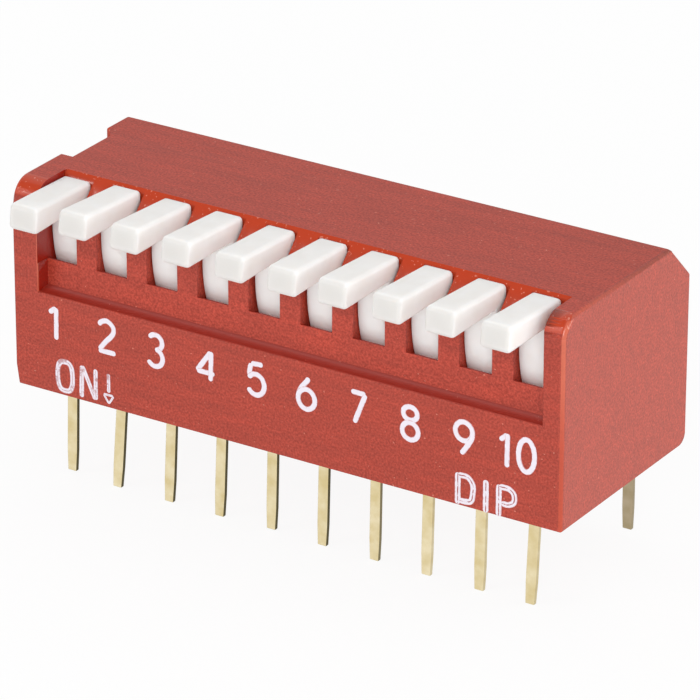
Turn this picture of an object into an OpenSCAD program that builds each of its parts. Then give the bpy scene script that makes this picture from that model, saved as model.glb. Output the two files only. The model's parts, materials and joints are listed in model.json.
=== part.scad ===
// Ten-position piano-key DIP switch: a moulded cover over a moulded base, ten rocking keys
// with a contact strip each, and two rows of ten through-hole terminals.
// Millimetres. X runs from position 1 to position 10, +Y is the back, +Z is up.
// The origin is on the seating plane, in the middle of the terminal grid.

/* [Grid] */
// Pitch from one position to the next
pitch = 2.54; // [2.5:0.01:3]
// Distance between the front and the rear terminal row
row_span = 7.62; // [7.5:0.01:9]

/* [Cover] */
// Distance from the middle of an outer position to the cover's end
end_margin = 1.98; // [1.9:0.01:3]
// Depth of the cover from its front face to its back face
cover_depth = 10.16; // [10:0.01:13]
// How far the front face stands in front of the front terminal row
front_margin = 1.39; // [1.2:0.01:2]
// Height of the cover above the seating plane
cover_h = 9.31; // [9.1:0.01:11.2]
// Thickness of the front and back walls
wall = 0.78; // [0.7:0.01:1]
// Thickness of the top wall
top_wall = 0.9; // [0.75:0.01:1.1]
// Size of the sloped edge along the top back
back_bevel = 1.68; // [1.2:0.01:2]
// Radius of the rounded edge along the bottom back
foot_round = 0.5; // [0.2:0.01:0.6]
// Radius of the end walls' top front corner
end_round = 1; // [0.5:0.01:1.2]
// Radius of the rounded edge along the top of the right end
right_round = 0.2; // [0.1:0.01:0.5]
// Inward draft at the bottom of the left end
end_draft = 0.13; // [0.05:0.01:0.2]
// Height over which that draft runs
end_draft_h = 0.9; // [0.5:0.01:1.5]

/* [Recessed panel] */
// Depth of the panel behind the front face
panel_depth = 0.72; // [0.5:0.01:0.8]
// Height of the ledge below the panel, at the front face
ledge_z = 4.49; // [4.2:0.01:4.9]
// Rise of the ledge from the front face to the panel
ledge_rise = 0.11; // [0.05:0.01:0.3]
// Radius of the ledge's front edge
ledge_round = 0.12; // [0.05:0.01:0.2]
// Radius of the end walls' front edges beside the panel
cheek_round = 0.08; // [0.05:0.01:0.2]
// Clearance between key 1 and the left end wall beside the panel
left_clear = 0.05; // [0.05:0.01:0.1]
// Clearance between key 10 and the right end wall beside the panel
right_clear = 0.32; // [0.05:0.01:0.4]
// Distance from the front face back to where the top face begins
brow_back = 2.25; // [2.1:0.01:2.4]
// How far the sloped brow above the panel reaches down from the top face
brow_drop = 1.53; // [1.3:0.01:1.7]

// Thickness of the posts between the slots, behind the panel
post_t = 1.18; // [1:0.01:1.3]

/* [Marker notch] */
// Depth of the notch in the top left edge
notch_depth = 0.68; // [0.4:0.01:0.75]
// Length of the notch along Y
notch_len = 2.76; // [2:0.01:3.5]
// How far the notch's front side stands behind the cover's front face
notch_back = 3.47; // [3:0.01:4]
// How far the notch reaches down from the top face
notch_drop = 1.4; // [0.8:0.01:1.5]

/* [Keys] */
// Width of a key
key_w = 1.38; // [1.2:0.01:1.45]
// Clearance beside a key
key_gap = 0.08; // [0.04:0.01:0.1]
// Radius of the key's round front about its pivot
drum_r = 5.3; // [5.1:0.01:5.3]
// Running clearance around the key's round front
drum_gap = 0.06; // [0.04:0.01:0.1]
// Distance from the front face back to the pivot
pivot_back = 6.3; // [6.2:0.01:6.4]
// Height of the pivot
pivot_z = 7.2; // [7.1:0.01:7.3]
// Height of the slots' lower edge
slot_z = 5.78; // [5.7:0.01:6]
// Depth of the flat sill at the slots' lower edge
sill_flat = 0.1; // [0.05:0.01:0.2]
// How far the sill falls away behind its flat, at 45 degrees
sill_fall = 0.4; // [0.2:0.01:0.5]
// How far the lever stands out in front of the front face
lever_out = 2.13; // [1.5:0.01:2.2]
// Distance from the front face back to the lever's back face
lever_back = 2.08; // [1.9:0.01:2.1]
// Height of the lever's flat underside, key up
lever_under_z = 8.39; // [8.35:0.01:8.5]
// Height of the lever's front upper edge, key up
lever_front_z = 9.54; // [9.45:0.01:9.8]
// Height of the lever's back upper edge, key up
lever_back_z = 9.29; // [9.2:0.01:9.35]
// Height below which the lever's back slopes forward to the web
lever_relief_z = 8.75; // [8.6:0.01:9]
// Radius of the lever's back upper edge
lever_round = 0.22; // [0.1:0.01:0.25]
// Radius of the lever's front edges
lever_nose = 0.25; // [0.05:0.01:0.3]
// How far the lever's front face leans back at its upper edge
nose_lean = 0.2; // [0:0.01:0.25]
// Clearance behind the lever, key up
lever_gap = 0.05; // [0.05:0.01:0.12]
// Turn of a key from fully up to fully down, in degrees
key_travel = 24; // [18:1:25]
// Radius of a key's trunnions
trunnion_r = 0.5; // [0.4:0.01:0.55]
// How far a trunnion stands out of the key's side
trunnion_len = 0.3; // [0.2:0.01:0.36]
// Radial clearance around a trunnion
trunnion_gap = 0.05; // [0.02:0.01:0.1]
// Radius of the hub around the pivot
hub_r = 1.05; // [0.8:0.01:1.1]
// Clearance between the round front's lower end and the pads, key down
web_clear = 0.41; // [0.2:0.01:0.5]

// Depth of the end walls' pockets, which take the base's tongues
end_pocket = 0.5; // [0.4:0.01:0.6]

/* [Base] */
// Thickness of the base's floor
floor_t = 2.65; // [2.4:0.01:2.8]
// Clearance between the base and the cover
base_gap = 0.06; // [0.03:0.01:0.08]
// Clearance between a comb wall and the keys beside it
comb_gap = 0.09; // [0.08:0.01:0.15]
// Length of one snap ridge on the base's long sides
snap_len = 2; // [1:0.1:3]
// Radius of a snap ridge
snap_r = 0.14; // [0.1:0.01:0.2]
// Height of the snap ridges
snap_z = 1.3; // [0.8:0.01:1.8]

/* [Terminals] */
// Width of a terminal along X
term_w = 0.5; // [0.4:0.01:0.6]
// Thickness of the terminal strip
term_t = 0.2; // [0.15:0.01:0.25]
// Length of a front terminal below the seating plane
term_len = 4.37; // [3:0.01:5]
// How much shorter the rear terminals are
rear_short = 0.33; // [0:0.01:0.5]
// Length of the narrowed tip
tip_len = 1; // [0.5:0.01:1.5]
// Narrowing of the tip on each side
tip_taper = 0.04; // [0.02:0.01:0.15]
// Clearance around a terminal in the base's floor
term_gap = 0.01; // [0.01:0.005:0.03]
// Place of the front pad's inner end, in front of the middle
front_pad_y = -1.15; // [-1.3:0.01:-1]
// Place of the rear pad's inner end
rear_pad_y = -0.05; // [-0.2:0.01:0]

/* [Contact strips] */
// Width of a contact strip
strip_w = 0.8; // [0.6:0.01:1]
// Thickness of a contact strip
strip_t = 0.15; // [0.1:0.01:0.2]
// Height of the strip's underside above the pads, key down
strip_lift = 0.25; // [0.25:0.01:0.3]
// Radius of the ridge that meets the front pad
front_ridge_r = 0.23; // [0.18:0.01:0.23]
// Radius of the ridge that wipes the rear pad
rear_ridge_r = 0.15; // [0.1:0.01:0.15]
// Place of the front ridge, key down
front_ridge_y = -1.4; // [-1.6:0.01:-1.3]
// Place of the rear ridge, key down
rear_ridge_y = 1.93; // [1.8:0.01:2]
// How far the key's foot reaches in front of the stake
foot_front = 1.3; // [1:0.01:1.4]
// How far the key's foot reaches behind the stake
foot_back = 0.9; // [0.6:0.01:1]
// Radius of the stake that holds the strip to the key's foot
stake_r = 0.22; // [0.15:0.01:0.25]
// Radius of the stake's flattened head
stake_head_r = 0.36; // [0.3:0.01:0.4]
// Thickness of the stake's head
stake_head_t = 0.1; // [0.08:0.01:0.12]
// Place of the stake, key down
stake_y = 0.4; // [0.2:0.01:0.6]

/* [Hidden] */
poles = 10;

$fn = 48;
// Overshoot of a cut beyond the surface that it opens
cut = 1;
// How far two shapes of one piece run into each other
lap = 0.1;
// Gap between the base's walls and the cover's ribs at the pivot's height
split_gap = 0.01;

// Each key settles a little differently under its own play, in degrees below fully up
key_droop = [1.8, 0.1, 0.15, 0.05, 0.5, 0.45, 0.2, 0.5, 0.35, 0.55];
// Each front terminal leans a little to the left after forming, in degrees
front_lean = [1.6, 4.2, 2.6, 2.3, 1.4, 1.4, 1, 1.2, 1, 2.4];
// Each front terminal was cropped a little short of the full length
front_crop = [0.18, 0, 0, 0, 0.08, 0, 0, 0, 0, 0.03];

cover_len = (poles - 1) * pitch + 2 * end_margin;
left_wall = end_margin - key_w / 2 - left_clear;
right_wall = end_margin - key_w / 2 - right_clear;
front_y = -row_span / 2 - front_margin;
back_y = front_y + cover_depth;
left_x = -cover_len / 2;
right_x = cover_len / 2;
panel_y = front_y + panel_depth;
brow_y = front_y + brow_back;

pivot_y = front_y + pivot_back;
slot_w = key_w + 2 * key_gap;
comb_t = pitch - key_w - 2 * comb_gap;
bay_len = (poles - 1) * pitch + slot_w;
ceiling_z = cover_h - top_wall;
cavity_front_y = front_y + wall;
cavity_back_y = back_y - wall;
// The comb walls stand behind the posts that carry the panel
post_back_y = panel_y + post_t;
// The cavity steps back above the base's floor, to leave the panel its wall
step_z = floor_t + 0.95;

pad_z = floor_t + term_t;
strip_z = pad_z + strip_lift;
foot_z = strip_z + strip_t;
bearing_r = trunnion_r + trunnion_gap;
// The web's upper side is just under the top wall, its lower side just clears the pads, key down
web_top_angle = 15;
web_low_angle = key_travel - asin((pivot_z - pad_z - web_clear) / drum_r);
lever_nose_y = front_y - lever_out;
lever_back_y = front_y + lever_back;

function position_x(n) = (n - 1 - (poles - 1) / 2) * pitch;

// Extrudes a Y-Z section along X, centred on X
module along_x(width) {
    rotate([90, 0, 90]) linear_extrude(width, center = true) children();
}

// What rounding a convex corner takes away: before and after are points on the corner's two sides
module corner_waste(before, corner, after, radius) {
    u = (before - corner) / norm(before - corner);
    v = (after - corner) / norm(after - corner);
    bisector = (u + v) / norm(u + v);
    half_angle = acos(u * v) / 2;
    reach = radius / tan(half_angle);
    difference() {
        polygon([corner + reach * u, corner - cut * bisector, corner + reach * v]);
        translate(corner + bisector * radius / sin(half_angle)) circle(radius);
    }
}

// Puts a copy at each position
module at_positions() {
    for (n = [1:poles]) translate([position_x(n), 0, 0]) children();
}

// Puts a copy midway between neighbouring positions
module between_positions() {
    for (n = [1:poles - 1]) translate([position_x(n) + pitch / 2, 0, 0]) children();
}

// Turns children about the pivot: positive lowers the front
module about_pivot(angle) {
    translate([0, pivot_y, pivot_z]) rotate([angle, 0, 0]) translate([0, -pivot_y, -pivot_z]) children();
}

// Outer Y-Z section of the cover
module cover_section() {
    difference() {
        polygon([
            [front_y, 0], [back_y, 0], [back_y, cover_h - back_bevel],
            [back_y - back_bevel, cover_h], [front_y, cover_h]
        ]);
        corner_waste([front_y, 0], [front_y, cover_h], [back_y, cover_h], end_round);
        corner_waste([front_y, 0], [back_y, 0], [back_y, cover_h], foot_round);
    }
}

// What is cut away in front of the recessed panel and its sloped brow
module recess_section() {
    slope = (brow_y - panel_y) / brow_drop;
    polygon([
        [front_y - cut, ledge_z - cut * ledge_rise / panel_depth], [panel_y, ledge_z + ledge_rise],
        [panel_y, cover_h - brow_drop], [brow_y + cut * slope, cover_h + cut], [front_y - cut, cover_h + cut]
    ]);
    corner_waste([front_y, 0], [front_y, ledge_z], [panel_y, ledge_z + ledge_rise], ledge_round);
}

// Rounds the end walls' front edges on both sides of the panel
module cheek_rounding() {
    for (side = [-1, 1]) {
        edge_x = side < 0 ? left_x + left_wall : right_x - right_wall;
        translate([0, 0, ledge_z]) linear_extrude(cover_h)
            corner_waste([edge_x + side, front_y], [edge_x, front_y], [edge_x, back_y], cheek_round);
    }
}

// Y-Z section of the room behind the keys' round fronts, under the top wall
module bay_section() {
    // The sloped back edge keeps its wall: its inner line is y + z = slope_sum
    slope_sum = back_y - back_bevel + cover_h - wall * sqrt(2);
    translate([brow_y, pivot_z - lap])
        polygon([
            [0, 0], [cavity_back_y - brow_y, 0],
            [cavity_back_y - brow_y, min(slope_sum - cavity_back_y, ceiling_z) - pivot_z + lap],
            [slope_sum - ceiling_z - brow_y, ceiling_z - pivot_z + lap], [0, ceiling_z - pivot_z + lap]
        ]);
    intersection() {
        translate([pivot_y, pivot_z]) circle(drum_r + drum_gap, $fn = 96);
        translate([front_y, step_z - lap]) square([pivot_back, ceiling_z - step_z + lap]);
    }
}

// The slot that the key's lever moves in. Its sill falls away towards the key
module slot_section() {
    sill_y = panel_y + sill_flat;
    slot_back_y = lever_back_y + lever_gap;
    polygon([
        [front_y - cut, slot_z], [sill_y, slot_z], [sill_y + sill_fall, slot_z - sill_fall],
        [slot_back_y, slot_z - sill_fall], [slot_back_y, cover_h + cut], [front_y - cut, cover_h + cut]
    ]);
}

// Bearing room around the trunnions, open below so that the keys drop in
module bearing_room() {
    length = bay_len + 2 * end_pocket;
    translate([0, pivot_y, pivot_z]) rotate([0, 90, 0]) cylinder(r = bearing_r, h = length, center = true);
    translate([-length / 2, pivot_y - bearing_r, -cut])
        cube([length, 2 * bearing_r, pivot_z + cut]);
}

module snap_ridges(radius) {
    for (x = [-3.5 : 3.5 : 3.5]) {
        translate([x * pitch, 0, snap_z]) {
            for (y = [cavity_front_y + base_gap, cavity_back_y - base_gap]) {
                translate([0, y, 0]) rotate([0, 90, 0]) cylinder(r = radius, h = snap_len, center = true);
            }
        }
    }
}

module cover() {
    color("#b84f3d")
    difference() {
        along_x(cover_len) cover_section();
        translate([(left_wall - right_wall) / 2, 0, 0])
            along_x(cover_len - left_wall - right_wall) recess_section();
        cheek_rounding();
        at_positions() along_x(slot_w) slot_section();
        at_positions() along_x(slot_w) bay_section();
        translate([-bay_len / 2, cavity_front_y, -cut])
            cube([bay_len, cavity_back_y - cavity_front_y, step_z + cut]);
        translate([-bay_len / 2, post_back_y, step_z - lap])
            cube([bay_len, cavity_back_y - post_back_y, pivot_z - step_z + lap]);
        bearing_room();
        snap_ridges(snap_r + base_gap);
        marker_notch();
        left_draft();
        right_rounding();
    }
}

// A small stopped notch in the top left edge marks the end where position 1 is
module marker_notch() {
    lip = 0.16;
    translate([left_x, front_y + notch_back, cover_h - notch_drop])
        linear_extrude(notch_drop + cut)
            polygon([
                [-cut, 0], [notch_depth, 0], [notch_depth, notch_len],
                [lip + 0.12, notch_len + 0.58], [lip, notch_len + 0.75], [-cut, notch_len + 0.75]
            ]);
}

// The left end leans in a little just above the seating plane
module left_draft() {
    translate([0, back_y + cut, 0]) rotate([90, 0, 0])
        linear_extrude(cover_depth + 2 * cut)
            polygon([
                [left_x - cut, -cut], [left_x + end_draft, -cut], [left_x + end_draft, 0],
                [left_x, end_draft_h], [left_x - cut, end_draft_h]
            ]);
}

// The right end is rounded over into the top face
module right_rounding() {
    translate([0, back_y + cut, 0]) rotate([90, 0, 0])
        linear_extrude(cover_depth + 2 * cut)
            corner_waste([right_x, 0], [right_x, cover_h], [left_x, cover_h], right_round);
}

// An upright tongue closes an end wall's bearing from below: side is -1 at the left end, 1 at the right
module tongue(side) {
    inner_x = bay_len / 2;
    outer_x = inner_x + end_pocket - base_gap;
    width = 2 * (bearing_r - base_gap);
    mirror([side < 0 ? 1 : 0, 0, 0])
        translate([0, pivot_y - width / 2, 0]) {
            translate([inner_x, 0, 0]) cube([outer_x - inner_x, width, pivot_z - split_gap]);
            translate([inner_x - base_gap - lap, 0, 0]) cube([outer_x - inner_x, width, floor_t]);
        }
}

module base() {
    base_y = cavity_front_y + base_gap;
    base_back_y = cavity_back_y - base_gap;
    comb_y = post_back_y + base_gap;
    slot_len = term_w + 2 * term_gap;
    slot_t = term_t + 2 * term_gap;
    color("#a8473a")
    difference() {
        union() {
            translate([-bay_len / 2 + base_gap, base_y, 0])
                cube([bay_len - 2 * base_gap, base_back_y - base_y, floor_t]);
            between_positions()
                translate([-comb_t / 2, comb_y, floor_t - lap])
                    cube([comb_t, base_back_y - comb_y, pivot_z - split_gap - floor_t + lap]);
            tongue(-1);
            tongue(1);
            snap_ridges(snap_r);
        }
        translate([0, pivot_y, pivot_z]) rotate([0, 90, 0])
            cylinder(r = bearing_r, h = cover_len, center = true);
        at_positions()
            for (side = [-1, 1])
                translate([-slot_len / 2, side * row_span / 2 - slot_t / 2, -cut])
                    cube([slot_len, slot_t, floor_t + 2 * cut]);
    }
}

// Turns a Y-Z section about the pivot: positive lowers the front
module section_about_pivot(angle) {
    translate([pivot_y, pivot_z]) rotate(angle) translate([-pivot_y, -pivot_z]) children();
}

// Y-Z section of the lever, key fully up
module lever_section() {
    root_y = pivot_y - drum_r + 0.25;
    root_z = pivot_z + 0.6;
    root_under = [root_y, lever_under_z];
    nose_under = [lever_nose_y, lever_under_z];
    nose_top = [lever_nose_y + nose_lean, lever_front_z];
    back_top = [lever_back_y, lever_back_z];
    back_low = [lever_back_y, lever_relief_z];
    difference() {
        polygon([nose_under, nose_top, back_top, back_low, [root_y + lap, root_z], [root_y, root_z], root_under]);
        corner_waste(root_under, nose_under, nose_top, lever_nose);
        corner_waste(nose_under, nose_top, back_top, lever_nose);
        corner_waste(nose_top, back_top, back_low, lever_round);
    }
}

// Y-Z section of the solid web behind the round front, key fully up
module web_section() {
    // The wedge's corners lie outside the circle, so only the circle shows
    reach = 1.2 * drum_r;
    intersection() {
        translate([pivot_y, pivot_z]) circle(drum_r, $fn = 96);
        translate([pivot_y, pivot_z])
            polygon([
                [0, 0], [-reach * cos(web_top_angle), reach * sin(web_top_angle)],
                [-reach, 0], [-reach * cos(web_low_angle), reach * sin(web_low_angle)]
            ]);
    }
    translate([pivot_y, pivot_z]) circle(hub_r);
}

// Y-Z section of the foot that carries the contact strip, key fully down
module foot_section() {
    translate([stake_y - foot_front, foot_z]) square([foot_front + foot_back, pivot_z - foot_z]);
}

module key(n) {
    color("#f1efec")
    about_pivot(key_droop[n - 1])
    translate([position_x(n), 0, 0]) {
        along_x(key_w) {
            lever_section();
            web_section();
            section_about_pivot(-key_travel) foot_section();
        }
        translate([0, pivot_y, pivot_z]) rotate([0, 90, 0])
            cylinder(r = trunnion_r, h = key_w + 2 * trunnion_len, center = true);
        about_pivot(-key_travel) {
            translate([0, stake_y, strip_z - lap])
                cylinder(r = stake_r, h = strip_t + 2 * lap);
            translate([0, stake_y, strip_z - stake_head_t])
                cylinder(r = stake_head_r, h = stake_head_t);
        }
    }
}

// Y-Z section of one contact ridge, flush with the strip's upper face
module ridge_section(y, radius) {
    intersection() {
        translate([y, strip_z]) circle(radius);
        translate([y - radius, strip_z - radius]) square([2 * radius, radius + strip_t]);
    }
}

module contact_strip(n) {
    overhang = 0.35;
    color("#d8b46a")
    about_pivot(key_droop[n - 1] - key_travel)
    translate([position_x(n), 0, 0])
    difference() {
        union() {
            translate([-strip_w / 2, front_ridge_y - overhang, strip_z])
                cube([strip_w, rear_ridge_y - front_ridge_y + 2 * overhang, strip_t]);
            along_x(strip_w) ridge_section(front_ridge_y, front_ridge_r);
            along_x(strip_w) ridge_section(rear_ridge_y, rear_ridge_r);
        }
        translate([0, stake_y, strip_z - cut]) cylinder(r = stake_r, h = strip_t + 2 * cut);
    }
}

// A leg through the floor that leans by some degrees below it
module leg(length, lean) {
    shift = tan(lean);
    half = term_w / 2;
    rotate([90, 0, 0]) linear_extrude(term_t, center = true)
        polygon([
            [-half, floor_t], [-half, 0],
            [-half - shift * (length - tip_len), tip_len - length],
            [-half + tip_taper - shift * length, -length],
            [half - tip_taper - shift * length, -length],
            [half - shift * (length - tip_len), tip_len - length],
            [half, 0], [half, floor_t]
        ]);
}

// The leg's upper end is folded over the floor into a contact pad, towards +Y
module folded_pad(reach) {
    translate([0, 0, floor_t]) {
        along_x(term_w)
            intersection() {
                translate([term_t / 2, 0]) circle(term_t);
                translate([-term_t / 2, 0]) square([term_t, term_t]);
            }
        translate([-term_w / 2, term_t / 2, 0]) cube([term_w, reach - term_t / 2, term_t]);
    }
}

module front_terminal(n) {
    color("#dcc48c")
    translate([position_x(n), -row_span / 2, 0]) {
        leg(term_len - front_crop[n - 1], front_lean[n - 1]);
        folded_pad(row_span / 2 + front_pad_y);
    }
}

module rear_terminal(n) {
    color("#b9a06a")
    translate([position_x(n), row_span / 2, 0]) {
        leg(term_len - rear_short, 0);
        mirror([0, 1, 0]) folded_pad(row_span / 2 - rear_pad_y);
    }
}

cover();
base();
for (n = [1:poles]) {
    key(n);
    contact_strip(n);
    front_terminal(n);
    rear_terminal(n);
}
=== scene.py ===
import json
import math

import bmesh
import bpy
import numpy as np
from mathutils import Matrix, Vector


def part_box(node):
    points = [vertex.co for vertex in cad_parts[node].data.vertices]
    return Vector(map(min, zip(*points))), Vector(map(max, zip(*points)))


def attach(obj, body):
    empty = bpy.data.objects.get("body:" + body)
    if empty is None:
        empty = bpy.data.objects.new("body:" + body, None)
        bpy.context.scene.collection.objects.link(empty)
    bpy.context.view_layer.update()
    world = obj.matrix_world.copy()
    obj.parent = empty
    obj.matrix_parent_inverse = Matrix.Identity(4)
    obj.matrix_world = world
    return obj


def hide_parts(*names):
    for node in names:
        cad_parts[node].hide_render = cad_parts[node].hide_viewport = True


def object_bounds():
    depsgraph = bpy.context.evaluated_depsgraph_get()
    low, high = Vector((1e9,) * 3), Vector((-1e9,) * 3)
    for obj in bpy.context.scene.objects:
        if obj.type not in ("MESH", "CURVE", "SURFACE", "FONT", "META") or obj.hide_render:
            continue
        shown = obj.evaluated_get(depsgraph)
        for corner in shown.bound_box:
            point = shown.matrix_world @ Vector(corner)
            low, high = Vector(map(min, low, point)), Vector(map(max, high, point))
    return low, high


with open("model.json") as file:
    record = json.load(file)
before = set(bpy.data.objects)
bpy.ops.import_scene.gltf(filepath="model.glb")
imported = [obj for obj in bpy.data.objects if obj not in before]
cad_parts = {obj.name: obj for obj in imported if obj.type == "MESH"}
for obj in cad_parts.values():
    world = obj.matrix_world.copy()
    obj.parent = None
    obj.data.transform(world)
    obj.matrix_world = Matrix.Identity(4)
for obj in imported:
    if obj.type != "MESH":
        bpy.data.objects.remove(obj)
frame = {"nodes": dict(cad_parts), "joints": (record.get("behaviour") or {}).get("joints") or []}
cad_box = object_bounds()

# Ten-position piano-key DIP switch. Sizes here are in millimetres and become metres in the mesh.
# X runs from position 1 to position 10, +Y is the back, +Z is up.
MM = 0.001
POSITIONS = 10
PITCH = 2.54
LEFT_X, FRONT_Y, SEAT_Z = (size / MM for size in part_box("cover")[0])
RIGHT_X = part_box("cover")[1].x / MM
FLOOR_Z = cad_box[0][2] / MM
# the line that the keys rock about, as (y, z), and how far a key turns from level to pressed, in degrees
PIVOT = np.array((1.1, 7.2))
KEY_TRAVEL = 24.0
# points of a CAD mesh closer than this are one point, in metres
SAME_POINT = 1e-7


# ---------------------------------------------------------------- node and mesh helpers
def linear(hex_colour):
    """sRGB hex to linear RGBA: a channel c becomes ((c + 0.055) / 1.055) ^ 2.4, or c / 12.92 near black."""
    channels = [int(hex_colour[i:i + 2], 16) / 255 for i in (1, 3, 5)]
    return tuple(c / 12.92 if c <= 0.04045 else ((c + 0.055) / 1.055) ** 2.4 for c in channels) + (1.0,)


def add_node(tree, kind, inputs=None, **settings):
    """Adds a node, sets its settings, and feeds each input a value or another node's socket. Inputs go by
    name or number: Map Range has value 0, from 1 and 2, to 3 and 4; a colour Mix has factor 0, A 6, B 7."""
    node = tree.nodes.new(kind)
    for name, value in settings.items():
        setattr(node, name, value)
    for name, value in (inputs or {}).items():
        if isinstance(value, bpy.types.NodeSocket):
            tree.links.new(value, node.inputs[name])
        else:
            node.inputs[name].default_value = value
    return node


def new_material(name):
    """A material with an empty tree, and its Object coordinates in millimetres."""
    material = bpy.data.materials.new(name)
    material.use_nodes = True
    tree = material.node_tree
    tree.nodes.clear()
    place = add_node(tree, "ShaderNodeTexCoord").outputs["Object"]
    place = add_node(tree, "ShaderNodeVectorMath", {0: place, "Scale": 1 / MM},
                     operation="SCALE").outputs[0]
    return material, tree, place


def add_object(name, data):
    """An object for a mesh, lamp or camera, linked into the scene."""
    thing = bpy.data.objects.new(name, data)
    bpy.context.scene.collection.objects.link(thing)
    return thing


def add_piece(name, points, faces, material, uv=None):
    """A mesh piece from an array of points in millimetres, with its faces, material and stroke UV."""
    mesh = bpy.data.meshes.new(name)
    mesh.from_pydata((np.asarray(points) * MM).tolist(), [], faces)
    if uv is not None:
        corners = np.empty(len(mesh.loops), np.int32)
        mesh.loops.foreach_get("vertex_index", corners)
        mesh.uv_layers.new(name="stroke").data.foreach_set("uv", uv[corners].ravel())
    mesh.materials.append(material)
    mesh.shade_smooth()
    return add_object(name, mesh)


def keep_flat(piece):
    """Flat faces stay flat beside rounded edges: large faces weigh more in the shared normals."""
    even = piece.modifiers.new("flat_faces_stay_flat", "WEIGHTED_NORMAL")
    even.keep_sharp = True


def settle(piece, body, slot, *nodes):
    """The piece rides on a body and stands for the CAD nodes, which it hides. The slot is not used."""
    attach(piece, body)
    if nodes:
        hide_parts(*nodes)


def ring_faces(rings, across):
    """Quads between consecutive closed rings of `across` points each."""
    ring, step = np.meshgrid(np.arange(rings - 1), np.arange(across), indexing="ij")
    after = (step + 1) % across
    quads = np.stack([ring * across + step, ring * across + after,
                      (ring + 1) * across + after, (ring + 1) * across + step], -1)
    return quads.reshape(-1, 4).tolist()


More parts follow.
